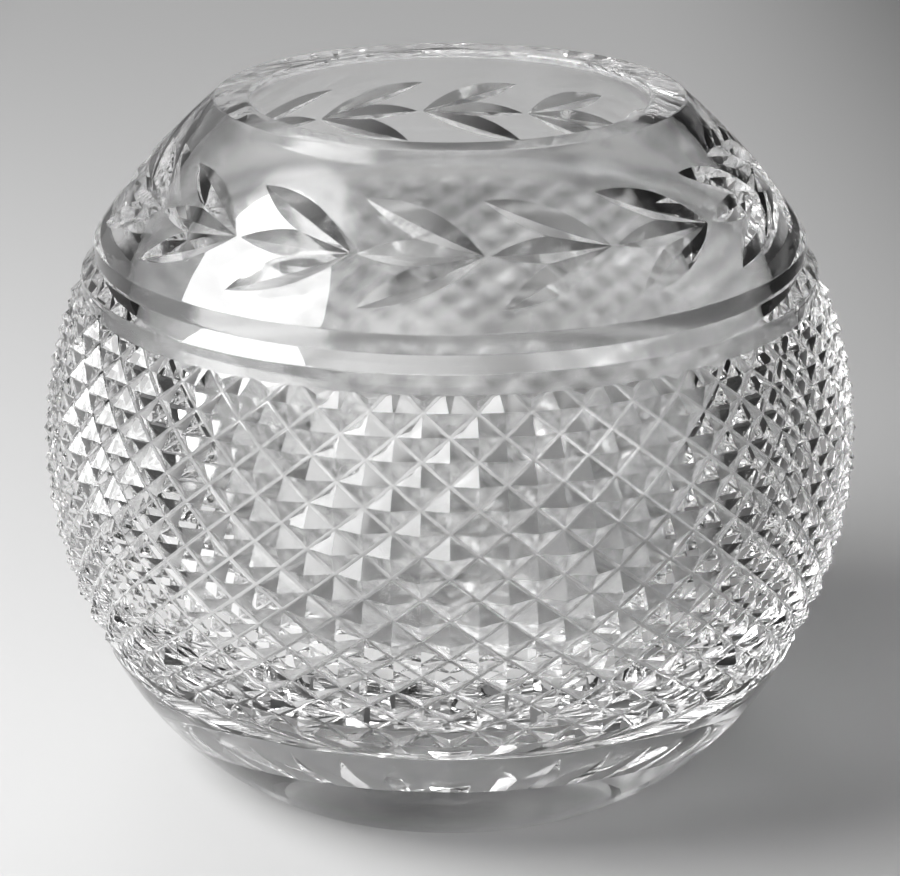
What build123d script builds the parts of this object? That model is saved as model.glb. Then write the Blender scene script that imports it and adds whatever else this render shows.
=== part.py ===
from build123d import *
import os
from math import cos, hypot, pi, radians, sin, sqrt, tan

# A cut-crystal rose bowl: one piece of glass, blown thick and then cut on wheels.
# Millimetres. The foot rests on Z = 0, and the Z axis is the bowl's own axis.
# Azimuth 0 faces -Y and grows towards +X.

# Heights of the zones, stacked up from the foot
base_h = 25.3
base_ring_h = 3.5
band_h = 60.9
shoulder_ring_h = 6.0
shoulder_h = 25.3

# Blank: belly, measured over the tips of the diamonds
widest_r = 76.0
widest_above_band = 33.2
belly_arc_r = 73.0

# Blank: lip, shoulder and base
lip_outer_r = 42.8
lip_polish_r = 0.7
shoulder_proud = 1.0
shoulder_sagitta = 1.2
base_sagitta = 2.35
foot_r = 44.5
foot_polish_r = 0.8

# Thickness of the glass, measured level except under the floor
lip_wall = 7.8
shoulder_wall = 8.6
belly_wall = 9.2
lower_wall = 11.0
lower_wall_above_band = 4.7
floor_inset = 6.5
floor_h = 16.5
floor_dish = 1.2

# Ring mitres: two at the shoulder and one above the base
ring_depth = 1.35
base_ring_depth = 1.2

# Diamond band, cut with a V-edged wheel along two families of slanting lines
diamonds_around = 48
diamonds_high = 8
diamond_lift = 0.2
diamond_rows_h = 59.6
diamond_crowding = 17.0
diamond_mitre_deg = 113.0

# Leaf band on the shoulder: sprays of three wheel-cut leaves
leaf_sprays = 16
spray_azimuth_deg = 5.9
node_below_middle = 1.75
upper_tip_rise = 7.6
lower_tip_fall = 7.6
upper_leaf_deg = 22.0
middle_leaf_deg = 21.6
lower_leaf_deg = 20.3
leaf_node_gap = 0.25
leaf_wheel_r = 70.0
leaf_mitre_deg = 116.0
leaf_wheel_half_t = 6.0

# Star cut under the foot
star_rays = 24
star_tip_r = 41.0
star_notch_r = 29.0
star_depth = 4.6

# The stock that a cutter needs beyond the surface it cuts
overrun = 6.0

# Heights and radii that follow from the sizes above
band_bottom_z = base_h + base_ring_h
band_top_z = band_bottom_z + band_h
ridge_z = band_top_z + shoulder_ring_h
shoulder_edge_z = ridge_z + shoulder_ring_h
bowl_height = shoulder_edge_z + shoulder_h
widest_z = band_bottom_z + widest_above_band
mouth_r = lip_outer_r - lip_wall
node_z = shoulder_edge_z + shoulder_h / 2 - node_below_middle


def belly_radius(z):
    # radius over the diamond tips at height z
    centre_r = widest_r - belly_arc_r
    return centre_r + sqrt(belly_arc_r ** 2 - (z - widest_z) ** 2)


def belly_normal(z):
    # outward normal of the belly at height z, as (radial, vertical)
    centre_r = widest_r - belly_arc_r
    return (belly_radius(z) - centre_r) / belly_arc_r, (z - widest_z) / belly_arc_r


def bulged(a, b, sagitta):
    # point over the middle of chord a-b, moved out to the left of the way from a to b
    length = hypot(b[0] - a[0], b[1] - a[1])
    left = (-(b[1] - a[1]) / length, (b[0] - a[0]) / length)
    return ((a[0] + b[0]) / 2 + left[0] * sagitta, (a[1] + b[1]) / 2 + left[1] * sagitta)


def polar(azimuth_deg, radius, z):
    a = radians(azimuth_deg)
    return Vector(radius * sin(a), -radius * cos(a), z)


def turned(edges):
    # solid of revolution from edges drawn in (radius, height)
    face = make_face(Plane.XZ * Wire(edges))
    return revolve(face, Axis.Z, 360)


# Points on the outside of the blank, as (radius, height)
lip_outer = (lip_outer_r, bowl_height)
shoulder_edge = (belly_radius(shoulder_edge_z) + shoulder_proud, shoulder_edge_z)
ridge = (belly_radius(ridge_z), ridge_z)
band_top = (belly_radius(band_top_z), band_top_z)
band_bottom = (belly_radius(band_bottom_z), band_bottom_z)
base_edge = (belly_radius(base_h), base_h)
foot_edge = (foot_r, 0.0)

# Bottoms of the three ring mitres
ring_one = bulged(ridge, shoulder_edge, ring_depth)
ring_two = bulged(band_top, ridge, ring_depth)
base_ring = bulged(base_edge, band_bottom, base_ring_depth)

# Arc points of the shoulder and the base
shoulder_mid = bulged(lip_outer, shoulder_edge, shoulder_sagitta)
base_mid = bulged(base_edge, foot_edge, base_sagitta)


def hollow():
    # the space inside, from the floor up through the mouth
    mouth = (mouth_r, bowl_height)
    under_shoulder = (shoulder_edge[0] - shoulder_wall, shoulder_edge_z)
    widest = (widest_r - belly_wall, widest_z)
    low_z = band_bottom_z + lower_wall_above_band
    low = (belly_radius(low_z) - lower_wall, low_z)
    floor_edge = (foot_r - floor_inset, floor_h)
    floor_mid = (0.0, floor_h - floor_dish)
    above = (0.0, bowl_height + overrun)
    upper = ThreePointArc(mouth, under_shoulder, widest)
    lower = ThreePointArc(widest, low, floor_edge)
    floor = Line(floor_edge, floor_mid)
    axis = Line(floor_mid, above)
    top = Line(above, (mouth_r, bowl_height + overrun))
    throat = Line((mouth_r, bowl_height + overrun), mouth)
    return turned([upper, lower, floor, axis, top, throat])


def shoulder_blank():
    # lip, shoulder, first ring and the upper wall of the second ring
    foot = (0.0, ring_two[1])
    top = (0.0, bowl_height)
    edges = [
        Line(foot, ring_two),
        Line(ring_two, ridge),
        Line(ridge, ring_one),
        Line(ring_one, shoulder_edge),
        ThreePointArc(shoulder_edge, shoulder_mid, lip_outer),
        Line(lip_outer, top),
        Line(top, foot),
    ]
    return turned(edges)


def base_blank():
    # lower wall of the base ring, rounded base and flat foot
    top = (0.0, base_ring[1])
    middle = (0.0, 0.0)
    edges = [
        Line(middle, foot_edge),
        ThreePointArc(foot_edge, base_mid, base_edge),
        Line(base_edge, base_ring),
        Line(base_ring, top),
        Line(top, middle),
    ]
    return turned(edges)


def band_limits():
    # keeps the band between the inner walls of the rings above and below it
    def beyond(a, b):
        length = hypot(b[0] - a[0], b[1] - a[1])
        return b[0] + (b[0] - a[0]) / length * overrun, b[1] + (b[1] - a[1]) / length * overrun
    low_out = beyond(base_ring, band_bottom)
    high_out = beyond(ring_two, band_top)
    wide = widest_r + overrun
    outline = Polyline((0.0, base_ring[1]), base_ring, low_out, (wide, low_out[1]), (wide, high_out[1]),
                       high_out, ring_two, (0.0, ring_two[1]), (0.0, base_ring[1]))
    return turned(outline.edges())


def diamond_row_z(half_row):
    # height of a half row; rows draw together towards the base
    u = half_row / (2 * diamonds_high)
    inner = min(max(u, 0.0), 1.0)
    top = band_top_z + diamond_lift
    return top - diamond_rows_h * u - diamond_crowding * inner ** 2 * (1 - inner)


def diamond_depth(half_row):
    # depth of the crossings that one mitre wheel gives at this row's pitch
    z = diamond_row_z(half_row)
    half_w = belly_radius(z) * sin(pi / diamonds_around)
    rise = (diamond_row_z(half_row - 1) - diamond_row_z(half_row + 1)) / 2
    half_h = rise / belly_normal(z)[0]
    half_pitch = half_w * half_h / hypot(half_w, half_h)
    return half_pitch / tan(radians(diamond_mitre_deg / 2))


def diamond_point(half_col, half_row, flat):
    # crossings of the cuts lie below the surface, diamond tips lie on it
    z = diamond_row_z(half_row)
    radius = belly_radius(z)
    if (half_col + half_row) % 2:
        depth = diamond_depth(half_row)
        normal = belly_normal(z)
        radius -= depth * normal[0]
        if not flat:
            z -= depth * normal[1]
    return polar(half_col * 180.0 / diamonds_around, radius, z)


def diamond_band():
    # faceted band: every cell of the lattice is two flat triangles that meet in a cut
    first = -1
    last = 2 * diamonds_high + 1
    cols = 2 * diamonds_around
    rings = []
    for k in range(first, last + 1):
        flat = k in (first, last)
        rings.append([diamond_point(i, k, flat) for i in range(cols)])
    faces = []
    for k in range(first, last):
        upper = rings[k - first]
        lower = rings[k + 1 - first]
        for i in range(cols):
            j = (i + 1) % cols
            a, b, c, d = upper[i], upper[j], lower[j], lower[i]
            if (i + k) % 2:
                corners = ((a, b, c), (a, c, d))
            else:
                corners = ((a, b, d), (b, c, d))
            for corner in corners:
                faces.append(Face(Wire.make_polygon(corner)))
    for ring in (rings[0], rings[-1]):
        faces.append(Face(Wire.make_polygon(ring)))
    return Solid(Shell(faces))


def shoulder_point(azimuth_deg, z):
    # point of the shoulder arc at height z
    a, m, b = lip_outer, shoulder_mid, shoulder_edge
    d = 2 * (a[0] * (m[1] - b[1]) + m[0] * (b[1] - a[1]) + b[0] * (a[1] - m[1]))
    sa, sm, sb = (p[0] ** 2 + p[1] ** 2 for p in (a, m, b))
    cx = (sa * (m[1] - b[1]) + sm * (b[1] - a[1]) + sb * (a[1] - m[1])) / d
    cz = (sa * (b[0] - m[0]) + sm * (a[0] - b[0]) + sb * (m[0] - a[0])) / d
    arc_r = hypot(a[0] - cx, a[1] - cz)
    radius = cx + sqrt(arc_r ** 2 - (z - cz) ** 2)
    normal = polar(azimuth_deg, (radius - cx) / arc_r, (z - cz) / arc_r)
    return polar(azimuth_deg, radius, z), normal


def leaf_wheel(node, tip):
    # V-edged wheel whose rim runs into the shoulder at the node and out at the tip
    node_at, _ = shoulder_point(*node)
    tip_at, _ = shoulder_point(*tip)
    way = (tip_at - node_at).normalized()
    start = node_at + way * leaf_node_gap
    middle = (start + tip_at) * 0.5
    _, normal = shoulder_point((node[0] + tip[0]) / 2, (node[1] + tip[1]) / 2)
    out = (normal - way * normal.dot(way)).normalized()
    half = (tip_at - start).length / 2
    centre = middle + out * sqrt(leaf_wheel_r ** 2 - half ** 2)
    slope = leaf_wheel_half_t / tan(radians(leaf_mitre_deg / 2))
    t = leaf_wheel_half_t
    outline = Polyline((0, -t), (leaf_wheel_r - slope, -t), (leaf_wheel_r, 0),
                       (leaf_wheel_r - slope, t), (0, t), (0, -t))
    wheel = turned(outline.edges())
    return Plane(origin=centre, x_dir=out, z_dir=way.cross(out)) * wheel


def leaf_spray(azimuth_deg):
    node = (azimuth_deg, node_z)
    return [
        leaf_wheel(node, (azimuth_deg - upper_leaf_deg, node_z + upper_tip_rise)),
        leaf_wheel(node, (azimuth_deg - middle_leaf_deg, node_z)),
        leaf_wheel(node, (azimuth_deg - lower_leaf_deg, node_z - lower_tip_fall)),
    ]


def star_cut():
    # pointed star of flat facets, deepest under the middle of the foot
    step = 180.0 / star_rays
    drop = star_depth * 0.5
    grow = (star_depth + drop) / star_depth
    peak = Vector(0, 0, star_depth)
    rim = []
    for i in range(2 * star_rays):
        reach = star_notch_r if i % 2 else star_tip_r
        rim.append(polar(i * step, reach * grow, -drop))
    faces = [Face(Wire.make_polygon((peak, rim[i], rim[i - 1]))) for i in range(len(rim))]
    faces.append(Face(Wire.make_polygon(rim)))
    return Solid(Shell(faces))


def crystal_bowl():
    inside = hollow()
    shoulder = shoulder_blank() - inside
    rims = [e for e in shoulder.edges() if abs(e.center().Z - bowl_height) < 1e-4]
    shoulder = fillet(rims, lip_polish_r)
    for i in range(leaf_sprays):
        azimuth = spray_azimuth_deg + i * 360.0 / leaf_sprays
        shoulder = shoulder - leaf_spray(azimuth)
    base = base_blank() - inside
    feet = [e for e in base.edges() if abs(e.center().Z) < 1e-4]
    base = fillet(feet, foot_polish_r) - star_cut()
    band = diamond_band() & (band_limits() - inside)
    return shoulder + band + base


os.makedirs("parts", exist_ok=True)
bowl = crystal_bowl()
export_step(bowl, "parts/crystal_bowl.step")
print("crystal_bowl", len(bowl.faces()), "faces", round(bowl.volume / 1000, 1), "cm3", bowl.is_valid)
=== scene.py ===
from math import asin, atan2, cos, degrees, hypot, pi, radians, sin, sqrt, tan

import bmesh
import bpy
from mathutils import Matrix, Vector


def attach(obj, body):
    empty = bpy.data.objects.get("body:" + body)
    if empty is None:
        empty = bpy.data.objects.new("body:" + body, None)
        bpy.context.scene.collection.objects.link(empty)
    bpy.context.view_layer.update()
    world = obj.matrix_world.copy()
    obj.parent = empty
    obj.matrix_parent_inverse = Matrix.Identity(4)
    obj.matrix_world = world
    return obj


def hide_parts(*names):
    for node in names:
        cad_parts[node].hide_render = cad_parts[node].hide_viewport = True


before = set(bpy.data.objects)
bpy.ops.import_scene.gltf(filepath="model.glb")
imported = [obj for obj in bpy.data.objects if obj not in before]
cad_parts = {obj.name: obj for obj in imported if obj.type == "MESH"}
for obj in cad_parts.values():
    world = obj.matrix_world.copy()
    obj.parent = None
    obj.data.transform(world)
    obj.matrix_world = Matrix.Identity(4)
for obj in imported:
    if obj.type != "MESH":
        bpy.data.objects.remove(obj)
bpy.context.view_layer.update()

# A cut-crystal rose bowl. The glass is shaped in millimetres and scaled to metres at the end.
# Azimuth 0 faces -Y and grows towards +X.
millimetre = 0.001
aroundSteps = 384  # a multiple of the diamonds, the sprays and the star rays
arcSteps = {"shoulder": 24, "throat": 40, "base": 20, "hollow": 32}
weld = {"turn": 0.0001, "seam": 0.002, "sliver": 0.0005}  # points closer than this are made one


def turnedPoint(azimuthDeg, radius, z):
    a = radians(azimuthDeg)
    return Vector((radius * sin(a), -radius * cos(a), z))


def bulged(a, b, sagitta):
    # point over the middle of chord a-b, moved out to the left of the way from a to b
    length = hypot(b[0] - a[0], b[1] - a[1])
    left = (-(b[1] - a[1]) / length, (b[0] - a[0]) / length)
    return ((a[0] + b[0]) / 2 + left[0] * sagitta, (a[1] + b[1]) / 2 + left[1] * sagitta)


def arcCentre(a, m, b):
    d = 2 * (a[0] * (m[1] - b[1]) + m[0] * (b[1] - a[1]) + b[0] * (a[1] - m[1]))
    sa, sm, sb = (p[0] ** 2 + p[1] ** 2 for p in (a, m, b))
    x = (sa * (m[1] - b[1]) + sm * (b[1] - a[1]) + sb * (a[1] - m[1])) / d
    z = (sa * (b[0] - m[0]) + sm * (a[0] - b[0]) + sb * (m[0] - a[0])) / d
    return x, z, hypot(a[0] - x, a[1] - z)


def arcThrough(a, m, b, steps):
    # points from a to b on the arc through m, b left out
    x, z, r = arcCentre(a, m, b)
    first = atan2(a[1] - z, a[0] - x)
    sweep = (atan2(b[1] - z, b[0] - x) - first + pi) % (2 * pi) - pi
    angles = [first + sweep * i / steps for i in range(steps)]
    return [(x + r * cos(t), z + r * sin(t)) for t in angles]


# The blank: heights and radii over the tips of the diamonds
blank = {
    "height": 127.0,
    "lipOuter": 42.8,
    "mouth": 35.0,
    "lipPolish": 0.7,
    "shoulderEdgeZ": 101.7,
    "shoulderProud": 1.0,
    "shoulderSagitta": 1.2,
    "ridgeZ": 95.7,
    "bandTopZ": 89.7,
    "bandBottomZ": 28.8,
    "baseEdgeZ": 25.3,
    "baseSagitta": 2.35,
    "widest": 76.0,
    "widestZ": 62.0,
    "bellyArc": 73.0,
    "ringDepth": 1.35,
    "ringPolish": 0.45,
    "baseRingDepth": 1.2,
    "foot": 44.5,
    "footPolish": 0.8,
    "shoulderWall": 8.6,
    "bellyWall": 9.2,
    "lowWall": 11.0,
    "lowZ": 33.5,
    "floorEdge": 38.0,
    "floorZ": 16.5,
    "floorDish": 1.2,
    "clearZ": 24.0,  # the inside is clear up to here, so that the star shows from above
}


def bellyRadius(z):
    rise = z - blank["widestZ"]
    return blank["widest"] - blank["bellyArc"] + sqrt(blank["bellyArc"] ** 2 - rise ** 2)


def bellyNormal(z):
    lean = (z - blank["widestZ"]) / blank["bellyArc"]
    return sqrt(1 - lean ** 2), lean


lipOuter = (blank["lipOuter"], blank["height"])
mouth = (blank["mouth"], blank["height"])
shoulderEdge = (bellyRadius(blank["shoulderEdgeZ"]) + blank["shoulderProud"], blank["shoulderEdgeZ"])
ridge = (bellyRadius(blank["ridgeZ"]), blank["ridgeZ"])
bandTop = (bellyRadius(blank["bandTopZ"]), blank["bandTopZ"])
bandBottom = (bellyRadius(blank["bandBottomZ"]), blank["bandBottomZ"])
baseEdge = (bellyRadius(blank["baseEdgeZ"]), blank["baseEdgeZ"])
footEdge = (blank["foot"], 0.0)
ringOne = bulged(ridge, shoulderEdge, blank["ringDepth"])
ringTwo = bulged(bandTop, ridge, blank["ringDepth"])
baseRing = bulged(baseEdge, bandBottom, blank["baseRingDepth"])
shoulderMid = bulged(lipOuter, shoulderEdge, blank["shoulderSagitta"])
baseMid = bulged(baseEdge, footEdge, blank["baseSagitta"])


def roundCorner(a, corner, b, radius, steps=5):
    # a small arc in place of the corner, tangent to both of its sides
    toA = (Vector(a) - Vector(corner)).normalized()
    toB = (Vector(b) - Vector(corner)).normalized()
    half = toA.angle(toB) / 2
    reach = radius / tan(half)
    middle = (toA + toB).normalized()
    nearest = Vector(corner) + middle * (radius / sin(half) - radius)
    start, end = Vector(corner) + toA * reach, Vector(corner) + toB * reach
    return arcThrough(start, nearest, end, steps) + [tuple(end)], reach


def clearOf(points, corner, reach):
    # the points that a rounded corner leaves in place, with a little room
    room = 1.05 * reach
    return [p for p in points if hypot(p[0] - corner[0], p[1] - corner[1]) > room]


def spun(profile, steps=aroundSteps):
    # a profile of (radius, height) points, turned once round the bowl's axis
    bm = bmesh.new()
    verts = [bm.verts.new((0, -r, z)) for r, z in profile]
    for a, b in zip(verts, verts[1:]):
        bm.edges.new((a, b))
    bmesh.ops.spin(bm, geom=bm.verts[:] + bm.edges[:], axis=(0, 0, 1), angle=2 * pi, steps=steps,
                   use_merge=True)
    bmesh.ops.remove_doubles(bm, verts=bm.verts, dist=weld["turn"])
    return bm


finishes = ["polished_wall", "cut_mitre", "mitre_bottom", "blown_inside", "polished_foot"]


def finished(bm, finish):
    for f in bm.faces:
        f.material_index = finishes.index(finish)
    return bm


def closed(bm):
    # flat caps over the open ends, so that a cutter can work on the shape
    bmesh.ops.holes_fill(bm, edges=bm.edges, sides=0)
    bmesh.ops.recalc_face_normals(bm, faces=bm.faces)
    return bm


def opened(bm):
    # takes the flat caps off again
    caps = [f for f in bm.faces if len(f.verts) >= aroundSteps]
    bmesh.ops.delete(bm, geom=caps, context="FACES_ONLY")
    return bm


def cutWith(bm, tool, operation):
    # a Boolean with both shapes as short-lived objects
    objects = []
    for name, shape in (("cutBlank", bm), ("cutTool", tool)):
        mesh = bpy.data.meshes.new(name)
        shape.to_mesh(mesh)
        shape.free()
        objects.append(bpy.data.objects.new(name, mesh))
        bpy.context.scene.collection.objects.link(objects[-1])
    mod = objects[0].modifiers.new("cut", "BOOLEAN")
    mod.operation = operation
    mod.solver = "EXACT"
    mod.material_mode = "INDEX"
    mod.object = objects[1]
    graph = bpy.context.evaluated_depsgraph_get()
    mesh = bpy.data.meshes.new_from_object(objects[0].evaluated_get(graph))
    done = bmesh.new()
    done.from_mesh(mesh)
    bpy.data.meshes.remove(mesh)
    for o in objects:
        bpy.data.meshes.remove(o.data)
    return done


# Leaf band: each spray has three leaves, ground with the rim of a V-edged wheel
leaves = {
    "sprays": 16,
    "azimuth": 5.9,
    "nodeZ": 112.6,
    "tips": [(22.0, 7.6), (21.6, 0.0), (20.3, -7.6)],  # degrees back from the node, rise
    "nodeGap": 0.25,
    "wheel": 70.0,
    "mitre": 116.0,
    "wheelHalf": 6.0,
    "overrun": 0.3,
    "steps": 28,
}


def shoulderPoint(azimuthDeg, z):
    x, cz, r = arcCentre(lipOuter, shoulderMid, shoulderEdge)
    radius = x + sqrt(r ** 2 - (z - cz) ** 2)
    return turnedPoint(azimuthDeg, radius, z), turnedPoint(azimuthDeg, (radius - x) / r, (z - cz) / r)


def leafWheels(back, rise):
    # the stretch of wheel rim that goes through the glass, repeated for every spray
    az, z = leaves["azimuth"], leaves["nodeZ"]
    node = shoulderPoint(az, z)[0]
    tip = shoulderPoint(az - back, z + rise)[0]
    way = (tip - node).normalized()
    start = node + way * leaves["nodeGap"]
    normal = shoulderPoint(az - back / 2, z + rise / 2)[1]
    out = (normal - way * normal.dot(way)).normalized()
    half = (tip - start).length / 2
    wheel = leaves["wheel"]
    centre = (start + tip) / 2 + out * sqrt(wheel ** 2 - half ** 2)
    reach = asin((half + leaves["overrun"]) / wheel)
    side = leaves["wheelHalf"]
    slope = side / tan(radians(leaves["mitre"] / 2))
    bm = bmesh.new()
    rim = [(-wheel, 0, 0), (slope - wheel, 0, side), (slope - wheel, 0, -side)]
    section = bm.faces.new([bm.verts.new(p) for p in rim])
    bmesh.ops.rotate(bm, verts=bm.verts, cent=(0, 0, 0), matrix=Matrix.Rotation(-reach, 3, "Z"))
    bmesh.ops.spin(bm, geom=[section] + section.verts[:] + section.edges[:], axis=(0, 0, 1),
                   angle=2 * reach, steps=leaves["steps"])
    axis = out.cross(way)
    place = Matrix((out, way, axis)).transposed().to_4x4()
    place.translation = centre
    bmesh.ops.transform(bm, matrix=place, verts=bm.verts)
    turn, others = 2 * pi / leaves["sprays"], leaves["sprays"] - 1
    bmesh.ops.spin(bm, geom=bm.verts[:] + bm.edges[:] + bm.faces[:], axis=(0, 0, 1),
                   angle=turn * others, steps=others, use_duplicate=True)
    bmesh.ops.recalc_face_normals(bm, faces=bm.faces)
    return finished(bm, "cut_mitre")


# Shoulder, lip and upper ring mitres
shoulderArc = arcThrough(shoulderEdge, shoulderMid, lipOuter, arcSteps["shoulder"])
outerLip, outerReach = roundCorner(shoulderArc[-1], lipOuter, mouth, blank["lipPolish"])
underShoulder = (shoulderEdge[0] - blank["shoulderWall"], shoulderEdge[1])
widestInside = (blank["widest"] - blank["bellyWall"], blank["widestZ"])
throatArc = arcThrough(mouth, underShoulder, widestInside, arcSteps["throat"])
innerLip, innerReach = roundCorner(lipOuter, mouth, throatArc[1], blank["lipPolish"])
# polishing leaves a thin round along the ridge between the rings and along the shoulder's edge
ridgeRound = roundCorner(ringTwo, ridge, ringOne, blank["ringPolish"])[0]
edgeRound, edgeReach = roundCorner(ringOne, shoulderEdge, shoulderArc[1], blank["ringPolish"])


def shoulderPart():
    middle = clearOf(clearOf(shoulderArc, lipOuter, outerReach), shoulderEdge, edgeReach)
    rings = [ringTwo] + ridgeRound + [ringOne] + edgeRound
    bm = closed(spun(rings + middle + outerLip + innerLip))
    for back, rise in leaves["tips"]:
        bm = cutWith(bm, leafWheels(back, rise), "DIFFERENCE")
    return opened(bm)


# Diamond band: two families of V cuts that cross at every other point of a lattice
diamonds = {
    "around": 48,
    "high": 8,
    "lift": 0.2,
    "rowsHigh": 59.6,
    "crowding": 17.0,
    "mitre": 113.0,
    "bottom": 0.36,  # how far acid polishing rounds each side of a cut's bottom
    "overrun": 6.0,
}


def rowZ(k):
    u = k / (2 * diamonds["high"])
    inner = min(max(u, 0.0), 1.0)
    top = blank["bandTopZ"] + diamonds["lift"]
    return top - diamonds["rowsHigh"] * u - diamonds["crowding"] * inner ** 2 * (1 - inner)


def cutDepth(k):
    # what one wheel angle gives at this row's spacing
    halfWidth = bellyRadius(rowZ(k)) * sin(pi / diamonds["around"])
    halfHeight = (rowZ(k - 1) - rowZ(k + 1)) / 2 / bellyNormal(rowZ(k))[0]
    acrossCut = halfWidth * halfHeight / hypot(halfWidth, halfHeight)
    return acrossCut / tan(radians(diamonds["mitre"] / 2))


def diamondBand():
    rows = list(range(-1, 2 * diamonds["high"] + 2))
    columns = 2 * diamonds["around"]
    bm = spun([(bellyRadius(rowZ(k)), rowZ(k)) for k in rows], columns)
    crossings = []
    for v in bm.verts:
        column = round(degrees(atan2(v.co.x, -v.co.y)) * columns / 360)
        k = min(rows, key=lambda row: abs(rowZ(row) - v.co.z))
        if (column + k) % 2:
            crossings.append(v)
            radial, up = bellyNormal(rowZ(k))
            depth = cutDepth(k)
            outward = Vector((v.co.x, v.co.y, 0)).normalized()
            v.co -= outward * radial * depth
            if k not in (rows[0], rows[-1]):
                v.co.z -= up * depth
    cuts = bmesh.ops.connect_verts(bm, verts=crossings)["edges"]
    bottoms = bmesh.ops.bevel(bm, geom=cuts, offset=diamonds["bottom"], offset_type="OFFSET",
                              affect="EDGES", segments=2, profile=0.5, material=-1)["faces"]
    finished(closed(bm), "cut_mitre")
    for f in bottoms:
        f.material_index = finishes.index("mitre_bottom")
    return bm


def beyond(a, b, extra):
    length = hypot(b[0] - a[0], b[1] - a[1])
    return b[0] + (b[0] - a[0]) / length * extra, b[1] + (b[1] - a[1]) / length * extra


def bandPart():
    low = beyond(baseRing, bandBottom, diamonds["overrun"])
    high = beyond(ringTwo, bandTop, diamonds["overrun"])
    wide = blank["widest"] + diamonds["overrun"]
    between = [baseRing, low, (wide, low[1]), (wide, high[1]), high, ringTwo]
    limits = finished(closed(spun(between)), "cut_mitre")
    return opened(cutWith(diamondBand(), limits, "INTERSECT"))


# Base with a many-pointed star ground into the foot
star = {"rays": 24, "tip": 41.0, "notch": 29.0, "depth": 4.6}


def basePart():
    arc = arcThrough(baseEdge, baseMid, footEdge, arcSteps["base"])
    heel, reach = roundCorner(arc[-1], footEdge, (0.0, 0.0), blank["footPolish"])
    bm = spun([baseRing] + clearOf(arc, footEdge, reach) + heel)
    rim = bmesh.ops.create_circle(bm, segments=2 * star["rays"], radius=star["tip"], cap_ends=True,
                                  cap_tris=True)["verts"]
    for v in rim:
        if v.co.length < 1:  # the point in the middle
            v.co.z = star["depth"]
        elif round(degrees(atan2(v.co.x, -v.co.y)) * star["rays"] / 180) % 2:
            v.co *= star["notch"] / star["tip"]
    # the flat ring between the heel and the star
    between = [e for e in bm.edges if e.is_boundary and e.verts[0].co.z < 1]
    filled = bmesh.ops.triangle_fill(bm, edges=between, normal=(0, 0, -1), use_beauty=True)
    for f in filled["geom"]:
        if isinstance(f, bmesh.types.BMFace):
            f.material_index = finishes.index("polished_foot")
    return bm


# The inside: throat, belly and dished floor
def hollowPart():
    low = (bellyRadius(blank["lowZ"]) - blank["lowWall"], blank["lowZ"])
    floorEdge = (blank["floorEdge"], blank["floorZ"])
    floorMid = (0.0, blank["floorZ"] - blank["floorDish"])
    upper = innerLip[-1:] + clearOf(throatArc, mouth, innerReach)
    lower = arcThrough(widestInside, low, floorEdge, arcSteps["hollow"])
    inwards, down = floorMid[0] - floorEdge[0], floorMid[1] - floorEdge[1]
    dish = [(floorEdge[0] + inwards * t, floorEdge[1] + down * t) for t in (0.0, 0.25, 0.5, 0.75, 1.0)]
    bm = finished(spun(upper + lower + dish), "blown_inside")
    for f in bm.faces:
        if f.calc_center_median().z < blank["clearZ"]:
            f.material_index = finishes.index("polished_wall")
    return bm


# A turn between two faces that is sharper than this, in degrees, shows as an edge
edgeTurn = {"facets": 18, "roundedBottom": 45}


def crystalBowl(name):
    bm = bmesh.new()
    for part in (shoulderPart(), bandPart(), basePart(), hollowPart()):
        mesh = bpy.data.meshes.new("part")
        part.to_mesh(mesh)
        part.free()
        bm.from_mesh(mesh)
        bpy.data.meshes.remove(mesh)
    bmesh.ops.remove_doubles(bm, verts=bm.verts, dist=weld["seam"])
    bmesh.ops.dissolve_degenerate(bm, edges=bm.edges, dist=weld["sliver"])
    # small flat ledges where a diamond cut runs deeper than the ring beside it
    gaps = [e for e in bm.edges if e.is_boundary]
    ledges = bmesh.ops.holes_fill(bm, edges=gaps, sides=0)["faces"]
    for f in ledges:
        f.material_index = finishes.index("cut_mitre")
    bmesh.ops.recalc_face_normals(bm, faces=bm.faces)
    for f in bm.faces:
        f.smooth = True
    for e in bm.edges:
        kinds = {f.material_index for f in e.link_faces}
        rounded = kinds == {finishes.index("mitre_bottom")}
        most = edgeTurn["roundedBottom"] if rounded else edgeTurn["facets"]
        e.smooth = len(kinds) == 1 and e.calc_face_angle(0.0) < radians(most)
    bmesh.ops.scale(bm, vec=(millimetre,) * 3, verts=bm.verts)
    loose = [e for e in bm.edges if len(e.link_faces) != 2]
    print("glass:", len(bm.faces), "faces,", len(loose), "open edges, volume",
          round(bm.calc_volume() * 1e6, 1), "cm3")
    mesh = bpy.data.meshes.new(name)
    bm.to_mesh(mesh)
    bm.free()
    piece = bpy.data.objects.new(name, mesh)
    bpy.context.scene.collection.objects.link(piece)
    return piece


def linear(hexColour):
    parts = [int(hexColour[i:i + 2], 16) / 255 for i in (1, 3, 5)]
    return [c / 12.92 if c <= 0.04045 else ((c + 0.055) / 1.055) ** 2.4 for c in parts] + [1.0]


def addNode(tree, kind, inputs, **settings):
    node = tree.nodes.new("ShaderNode" + kind)
    for key, value in settings.items():
        setattr(node, key, value)
    for key, value in inputs.items():
        if isinstance(value, bpy.types.NodeSocket):
            tree.links.new(value, node.inputs[key])
        else:
            node.inputs[key].default_value = value
    return node


def newMaterial(name):
    material = bpy.data.materials.new(name)
    material.use_nodes = True
    material.node_tree.nodes.clear()
    return material, material.node_tree


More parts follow.
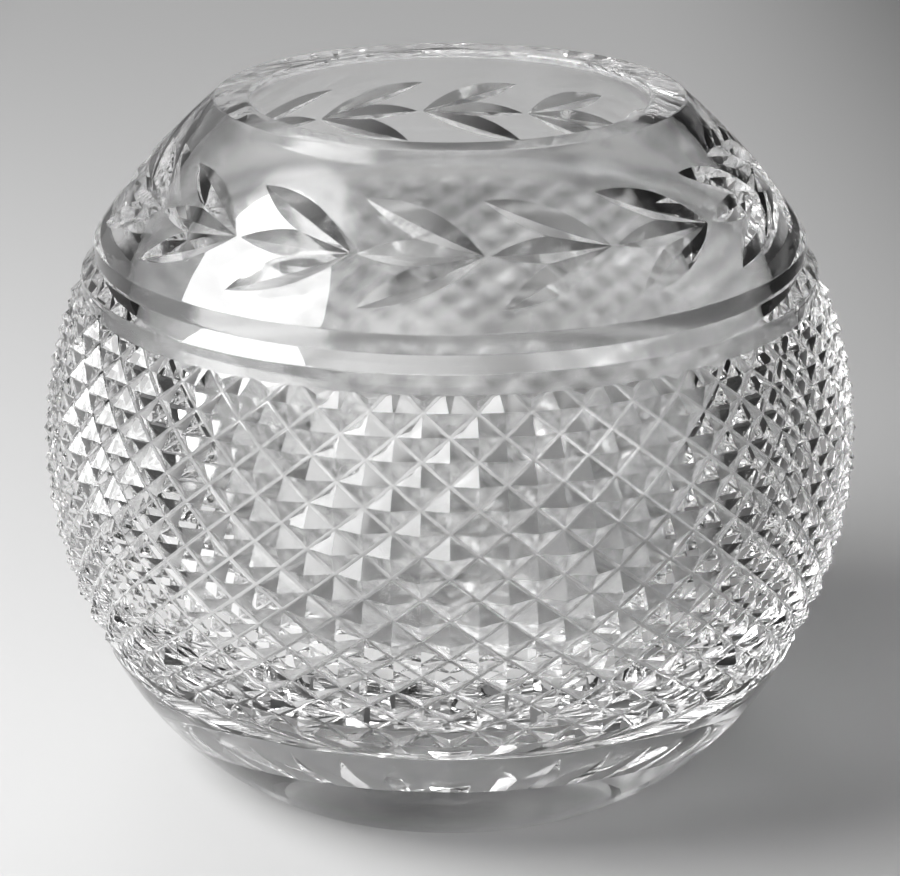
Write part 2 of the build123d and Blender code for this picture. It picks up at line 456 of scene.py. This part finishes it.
# Lead crystal, cut and polished: colourless and bright, and every facet bends the light its own way.
# One recipe with five finishes. Waves and their rise are in millimetres
crystal = {
    "ior": 1.545,
    "tint": "#FDFDFD",
    "wholeFrom": 0.99,  # the share of light sent back from which a reflection counts as whole
    # wheel-cut, then acid polished
    "cut_mitre": {"roughness": 0.0, "wave": 2.5, "rise": 0.004},
    # rounded and soft from the polish
    "mitre_bottom": {"roughness": 0.06, "wave": 1.5, "rise": 0.01},
    # turned and polished
    "polished_wall": {"roughness": 0.0, "wave": 14.0, "rise": 0.02},
    # wavy from blowing, and filmed by water
    "blown_inside": {"roughness": 0.14, "wave": 9.0, "rise": 0.06},
    # the flat ring that it stands on
    "polished_foot": {"roughness": 0.04, "wave": 0.8, "rise": 0.004},
}


def leadCrystal(name):
    finish = crystal[name]
    material, tree = newMaterial(name)
    place = addNode(tree, "TexCoord", {})
    wave = addNode(tree, "TexNoise", {"Vector": place.outputs["Object"], "Detail": 2.0,
                                      "Scale": 1 / (finish["wave"] * millimetre)})
    bump = addNode(tree, "Bump", {"Height": wave.outputs["Fac"], "Distance": finish["rise"] * millimetre})
    tint, normal = linear(crystal["tint"]), bump.outputs["Normal"]
    glass = addNode(tree, "BsdfPrincipled", {"Base Color": tint, "Roughness": finish["roughness"],
                                             "IOR": crystal["ior"], "Transmission Weight": 1.0,
                                             "Normal": normal})
    if name == "blown_inside":
        # a thin film blurs what is seen through the wall, and whole reflections in the glass stay clear
        share = addNode(tree, "Fresnel", {"IOR": crystal["ior"], "Normal": normal})
        whole = addNode(tree, "Math", {0: share.outputs[0], 1: crystal["wholeFrom"]},
                        operation="GREATER_THAN")
        mirror = addNode(tree, "BsdfAnisotropic", {"Color": tint, "Roughness": 0.0, "Normal": normal})
        glass = addNode(tree, "MixShader", {0: whole.outputs[0], 1: glass.outputs[0],
                                            2: mirror.outputs[0]})
    addNode(tree, "OutputMaterial", {"Surface": glass.outputs[0]})
    return material


bowl = crystalBowl("cut_crystal_bowl")
for finish in finishes:
    bowl.data.materials.append(leadCrystal(finish))
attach(bowl, "root")
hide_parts("crystal_bowl")
print("bowl ready")


# Studio: pale paper with painted shade that darkens it towards both sides, a softbox high on the left, a
# lamp for the far paper, and a room with a window in front, a light back wall, dark sides and a ceiling
# that fades to the right.
# Lengths are in metres
studio = {
    "floorHalf": 6.0,
    "floorGap": 0.0001,  # the thin film of air under the foot
    "floorColour": "#CBCBCB",
    "floorShade": "#3C3C3C",
    "floorRoughness": 0.8,
    "grain": 0.0015,
    "grainRise": 0.00005,
    "grainStrength": 0.1,
    "shadeRight": (0.06, 0.31),  # where the painted shade on the paper starts, and where it is darkest
    "shadeLeft": (-0.17, -0.34),
    "softboxAt": (-0.53, -0.17, 0.50),
    "softboxAim": (0, 0, 0.06),
    "softboxSize": (0.56, 0.50),
    "softboxWatts": 7.2,
    "backLampAt": (-0.45, 1.9, 1.3),  # lights the far paper and isn't seen in the glass
    "backLampAim": (-0.3, 1.8, 0),
    "backLampSize": (1.2, 1.2),
    "backLampWatts": 9.9,
    "ceilingLeft": 0.75,
    "ceilingRight": 0.0,
    "ceilingFade": (-0.5, 0.2),  # how far left it starts to fade, and how far right it ends
    "ceilingFrom": (0.5, 0.8),  # how high up it starts, and where it is whole
    "windowWay": (-0.25, -0.95, 0.2),
    "windowEdge": (0.85, 0.95),  # its soft edge, as the cosine from its middle
    "window": 3.4,
    "wallWay": (-0.35, 0.94, 0.0),
    "wallEdge": (0.8, 0.97),
    "back": 0.2,
    "sides": 0.01,
}


def paleFloor():
    bm = bmesh.new()
    bmesh.ops.create_grid(bm, x_segments=1, y_segments=1, size=studio["floorHalf"])
    bmesh.ops.translate(bm, verts=bm.verts, vec=(0, 0, -studio["floorGap"]))
    mesh = bpy.data.meshes.new("pale_floor")
    bm.to_mesh(mesh)
    bm.free()
    floor = bpy.data.objects.new("pale_floor", mesh)
    bpy.context.scene.collection.objects.link(floor)
    material, tree = newMaterial("paper_with_painted_shade")
    place = addNode(tree, "TexCoord", {})
    grain = addNode(tree, "TexNoise", {"Vector": place.outputs["Object"], "Scale": 1 / studio["grain"],
                                       "Detail": 3.0})
    bump = addNode(tree, "Bump", {"Height": grain.outputs["Fac"], "Strength": studio["grainStrength"],
                                  "Distance": studio["grainRise"]})
    # painted shade: the paper's colour turns dark towards both sides, in place of light that falls off
    # there
    along = addNode(tree, "SeparateXYZ", {"Vector": place.outputs["Object"]})
    ends = []
    for key in ("shadeRight", "shadeLeft"):
        near, far = studio[key]
        ends.append(addNode(tree, "MapRange", {"Value": along.outputs["X"], "From Min": near,
                                               "From Max": far}, interpolation_type="SMOOTHSTEP"))
    shade = addNode(tree, "Math", {0: ends[0].outputs[0], 1: ends[1].outputs[0]}, operation="ADD")
    tone = addNode(tree, "Mix", {0: shade.outputs[0], 6: linear(studio["floorColour"]),
                                 7: linear(studio["floorShade"])}, data_type="RGBA")
    paper = addNode(tree, "BsdfPrincipled", {"Base Color": tone.outputs[2],
                                             "Roughness": studio["floorRoughness"],
                                             "Normal": bump.outputs["Normal"]})
    addNode(tree, "OutputMaterial", {"Surface": paper.outputs["BSDF"]})
    mesh.materials.append(material)


def softbox(name, at, aim, size, watts):
    data = bpy.data.lights.new(name, "AREA")
    data.shape = "ELLIPSE"
    data.size, data.size_y = size
    data.energy = watts
    lamp = bpy.data.objects.new(name, data)
    lamp.location = at
    lamp.rotation_euler = (Vector(aim) - Vector(at)).to_track_quat("-Z", "Y").to_euler()
    bpy.context.scene.collection.objects.link(lamp)
    return lamp


def room():
    world = bpy.data.worlds.new("studio_room")
    world.use_nodes = True
    tree = world.node_tree
    tree.nodes.clear()
    way = addNode(tree, "TexCoord", {}).outputs["Generated"]
    split = addNode(tree, "SeparateXYZ", {"Vector": way})
    ahead = addNode(tree, "VectorMath", {0: way, 1: studio["windowWay"]}, operation="DOT_PRODUCT")
    edge, middle = studio["windowEdge"]
    window = addNode(tree, "MapRange", {"Value": ahead.outputs["Value"], "From Min": edge,
                                        "From Max": middle, "To Min": 0.0, "To Max": studio["window"]},
                     interpolation_type="SMOOTHSTEP")
    behind = addNode(tree, "VectorMath", {0: way, 1: studio["wallWay"]}, operation="DOT_PRODUCT")
    edge, middle = studio["wallEdge"]
    walls = addNode(tree, "MapRange", {"Value": behind.outputs["Value"], "From Min": edge,
                                       "From Max": middle, "To Min": studio["sides"],
                                       "To Max": studio["back"]}, interpolation_type="SMOOTHSTEP")
    left, right = studio["ceilingFade"]
    overhead = addNode(tree, "MapRange", {"Value": split.outputs["X"], "From Min": left, "From Max": right,
                                          "To Min": studio["ceilingLeft"],
                                          "To Max": studio["ceilingRight"]})
    low, high = studio["ceilingFrom"]
    height = addNode(tree, "MapRange", {"Value": split.outputs["Z"], "From Min": low, "From Max": high},
                     interpolation_type="SMOOTHSTEP")
    tone = addNode(tree, "Mix", {0: height.outputs[0], 2: walls.outputs[0], 3: overhead.outputs[0]})
    both = addNode(tree, "Math", {0: tone.outputs[0], 1: window.outputs[0]}, operation="ADD")
    sky = addNode(tree, "Background", {"Color": both.outputs[0]})
    addNode(tree, "OutputWorld", {"Surface": sky.outputs[0]})
    bpy.context.scene.world = world


paleFloor()
softbox("key_softbox", studio["softboxAt"], studio["softboxAim"], studio["softboxSize"],
        studio["softboxWatts"])
backLamp = softbox("back_lamp", studio["backLampAt"], studio["backLampAim"], studio["backLampSize"],
                   studio["backLampWatts"])
backLamp.visible_glossy = False
backLamp.visible_transmission = False
room()
print("studio ready")


# Camera at the photograph's angle. Light runs through many facets before it leaves the glass
view = {
    "lens": 118.43,
    "sensor": 36.0,
    "at": (0.0, -0.52706, 0.24964),
    "tilt": 70.25,
    "bounces": 40,
    "glossyBounces": 24,
}
cameraData = bpy.data.cameras.new("camera")
cameraData.lens = view["lens"]
cameraData.sensor_width = view["sensor"]
cameraData.sensor_fit = "HORIZONTAL"
camera = bpy.data.objects.new("camera", cameraData)
camera.location = view["at"]
camera.rotation_euler = (radians(view["tilt"]), 0, 0)
bpy.context.scene.collection.objects.link(camera)
bpy.context.scene.camera = camera
bpy.context.scene.view_settings.view_transform = "Standard"
light = bpy.context.scene.cycles
light.max_bounces = view["bounces"]
light.transmission_bounces = view["bounces"]
light.glossy_bounces = view["glossyBounces"]
print("camera ready")
